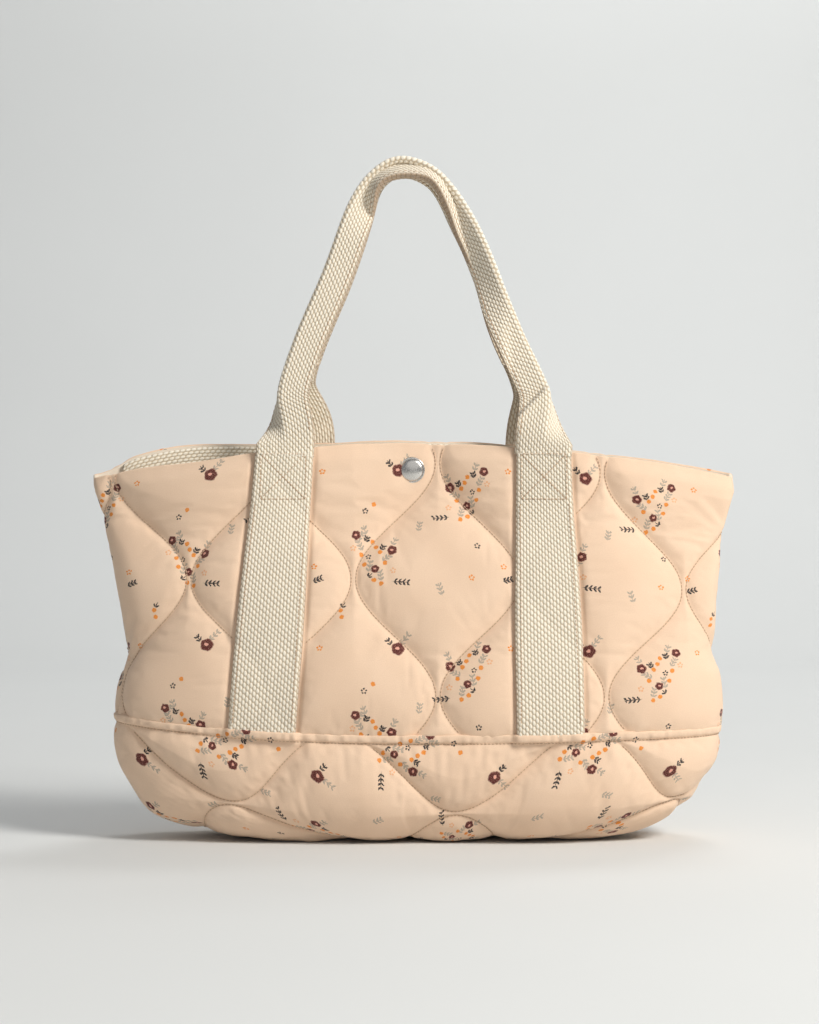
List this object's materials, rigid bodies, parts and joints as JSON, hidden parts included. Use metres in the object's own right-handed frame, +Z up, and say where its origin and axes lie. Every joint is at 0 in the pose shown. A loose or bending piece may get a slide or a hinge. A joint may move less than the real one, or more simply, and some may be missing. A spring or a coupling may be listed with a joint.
{
  "type": "knitting bag",
  "caption": "Small quilted cloth bag with a boxed base, webbing handles sewn to both faces and a snap that closes the middle of the mouth.",
  "frame": {"origin": "on the floor under the middle of the bag's box", "axes": "+X to the bag's right as seen from the front, -Y is the front with the snap's cap, +Z up to the handles"},
  "size_m": [0.3608, 0.0972, 0.3882],
  "materials": {
    "printed_cloth": "smooth quilted cotton jersey, peach, with a small flower print",
    "wadding": "soft polyester wadding, white",
    "backing_cloth": "plain cotton backing, pale peach",
    "webbing": "coarse cotton webbing, natural cream",
    "thread": "matt sewing thread, beige",
    "snap_metal": "nickel plate, bright"
  },
  "bodies": {
    "bag": {"base_panel_face": "printed_cloth", "back_panel_face": "printed_cloth", "base_panel_wadding": "wadding", "back_panel_wadding": "wadding", "base_panel_backing": "backing_cloth", "back_panel_backing": "backing_cloth", "back_mouth_tape": "webbing", "back_strap_left": "webbing", "back_box_stitch_left": "thread", "back_strap_right": "webbing", "back_box_stitch_right": "thread", "snap_back_cap": "snap_metal", "snap_stud": "snap_metal"},
    "front_wall": {"front_panel_face": "printed_cloth", "front_panel_wadding": "wadding", "front_panel_backing": "backing_cloth", "front_mouth_tape": "webbing", "front_strap_left": "webbing", "front_box_stitch_left": "thread", "front_strap_right": "webbing", "front_box_stitch_right": "thread", "snap_front_cap": "snap_metal", "snap_socket": "snap_metal"},
    "front_handle": {"front_handle_loop": "webbing"},
    "back_handle": {"back_handle_loop": "webbing"}
  },
  "joints": [
    {"name": "mouth_open", "type": "hinge", "parent": "bag", "child": "front_wall", "pos_m": [0, -0.0466, 0.06415], "axis": [1, 0, 0], "range_deg": [0, 15]},
    {"name": "front_handle_swing", "type": "hinge", "parent": "front_wall", "child": "front_handle", "pos_m": [0, -0.0224, 0.224], "axis": [1, 0, 0], "range_deg": [0, 165]},
    {"name": "back_handle_swing", "type": "hinge", "parent": "bag", "child": "back_handle", "pos_m": [0, 0.0224, 0.224], "axis": [-1, 0, 0], "range_deg": [0, 165]}
  ]
}
